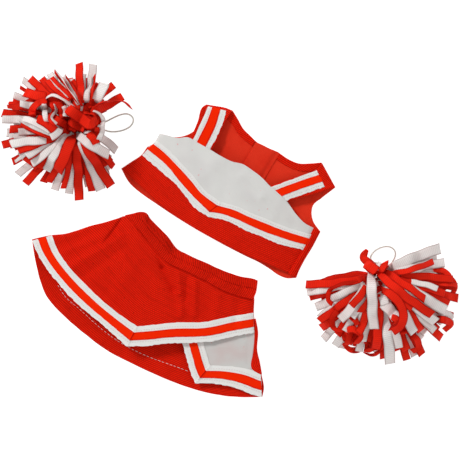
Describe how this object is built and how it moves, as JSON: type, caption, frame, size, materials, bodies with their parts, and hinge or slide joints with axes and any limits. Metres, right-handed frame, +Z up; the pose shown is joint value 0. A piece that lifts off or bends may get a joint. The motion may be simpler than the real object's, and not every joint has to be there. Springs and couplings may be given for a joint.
{
  "type": "cheer uniform",
  "caption": "Doll-size cheer uniform laid out flat: ribbed sleeveless top and A-line skirt trimmed with braid, and a pair of strip pompoms with elastic wrist loops.",
  "frame": {"origin": "on the table under the middle of the whole set's bounding box", "axes": "+Z up off the table, +X along the long side of the layout, from the first pompom towards the second, +Y towards the top's shoulders"},
  "size_m": [0.3564, 0.2604, 0.0468],
  "materials": {
    "red_knit": "matte ribbed knit",
    "lining": "matte knit",
    "waistband_knit": "matte ribbed knit",
    "white_cloth": "matte",
    "white_tape": "matte twill",
    "red_ribbon": "soft sheen",
    "red_strip": "soft sheen",
    "white_strip": "soft sheen",
    "tie": "matte",
    "elastic_cord": "braided cover",
    "waist_elastic": "woven",
    "hook_tape": "matte",
    "loop_tape": "brushed"
  },
  "bodies": {
    "left_loop": {"left_loop_knot": "elastic_cord", "left_wrist_loop": "elastic_cord"},
    "left_pompom": {"left_pompom_core": "red_strip", "left_pompom_red_strips": "red_strip", "left_pompom_tie": "tie", "left_pompom_white_strips": "white_strip"},
    "right_loop": {"right_loop_knot": "elastic_cord", "right_wrist_loop": "elastic_cord"},
    "right_pompom": {"right_pompom_core": "red_strip", "right_pompom_red_strips": "red_strip", "right_pompom_tie": "tie", "right_pompom_white_strips": "white_strip"},
    "skirt": {"skirt_back_hem_ribbon": "red_ribbon", "skirt_back_hem_tape": "white_tape", "skirt_back_panel": "red_knit", "skirt_front_overlay": "red_knit", "skirt_inset_ribbon_left": "red_ribbon", "skirt_inset_ribbon_right": "red_ribbon", "skirt_inset_tape_left": "white_tape", "skirt_inset_tape_right": "white_tape", "skirt_left_side_seam": "red_knit", "skirt_overlay_ribbon_left": "red_ribbon", "skirt_overlay_ribbon_right": "red_ribbon", "skirt_overlay_tape_left": "white_tape", "skirt_overlay_tape_right": "white_tape", "skirt_right_side_seam": "red_knit", "skirt_side_inset": "white_cloth", "skirt_side_wrap": "red_knit", "skirt_waist_elastic": "waist_elastic", "skirt_waistband": "waistband_knit", "skirt_wrap_fold_seam": "red_knit"},
    "top_lap": {"top_back_lap": "lining", "top_loop_tape": "loop_tape"},
    "top": {"top_back_left_half": "lining", "top_back_right_half": "lining", "top_chevron_ribbon_left": "red_ribbon", "top_chevron_ribbon_right": "red_ribbon", "top_chevron_tape_left": "white_tape", "top_chevron_tape_right": "white_tape", "top_front_band": "red_knit", "top_front_yoke": "white_cloth", "top_hook_tape": "hook_tape", "top_left_side_seam": "red_knit", "top_left_strap": "red_knit", "top_left_strap_ribbon": "red_ribbon", "top_left_strap_tape": "white_tape", "top_right_side_seam": "red_knit", "top_right_strap": "red_knit", "top_right_strap_ribbon": "red_ribbon", "top_right_strap_tape": "white_tape"}
  },
  "joints": [
    {"name": "lap_peel", "type": "hinge", "parent": "top", "child": "top_lap", "pos_m": [0.01502, 0.02402, 0.0019], "axis": [0.509, 0.8607, 0], "range_deg": [0, 16]},
    {"name": "skirt_lift", "type": "slide", "parent": "top", "child": "skirt", "axis": [0, 0, 1], "range_m": [0, 0.12]},
    {"name": "left_pompom_lift", "type": "slide", "parent": "top", "child": "left_pompom", "axis": [0, 0, 1], "range_m": [0, 0.12]},
    {"name": "right_pompom_lift", "type": "slide", "parent": "top", "child": "right_pompom", "axis": [0, 0, 1], "range_m": [0, 0.12]},
    {"name": "left_loop_swing", "type": "hinge", "parent": "left_pompom", "child": "left_loop", "pos_m": [-0.11064, 0.08278, 0.005], "axis": [-0.0349, -0.9994, 0], "range_deg": [0, 60]},
    {"name": "right_loop_swing", "type": "hinge", "parent": "right_pompom", "child": "right_loop", "pos_m": [0.11683, -0.02774, 0.005], "axis": [0.8829, -0.4695, 0], "range_deg": [0, 60]}
  ]
}
